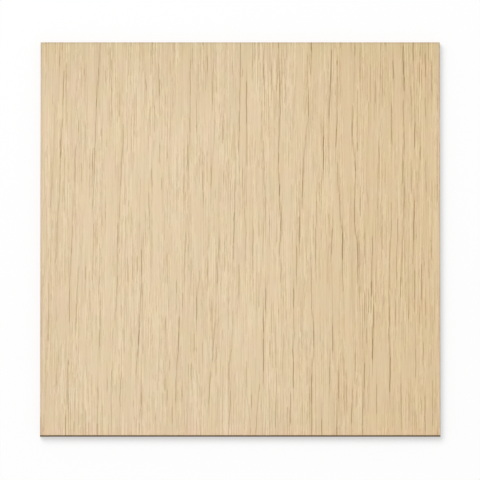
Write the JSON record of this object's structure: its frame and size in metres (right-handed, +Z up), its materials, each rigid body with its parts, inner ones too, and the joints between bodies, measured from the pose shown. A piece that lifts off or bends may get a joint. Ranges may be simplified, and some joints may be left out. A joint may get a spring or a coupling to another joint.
{
  "type": "wood-look rubber floor tile",
  "caption": "Square slab of rubber flooring with a flat underside, eased top edges and a pale oak wood-grain wear face, laid edge to edge to cover a floor.",
  "frame": {"origin": "middle of the underside", "axes": "+Z up, out of the wear face; +Y along the wood grain; +X across the grain"},
  "size_m": [0.5, 0.5, 0.01],
  "materials": {
    "wood_look_rubber": "matte"
  },
  "bodies": {
    "root": {"floor_tile": "wood_look_rubber"}
  },
  "joints": []
}
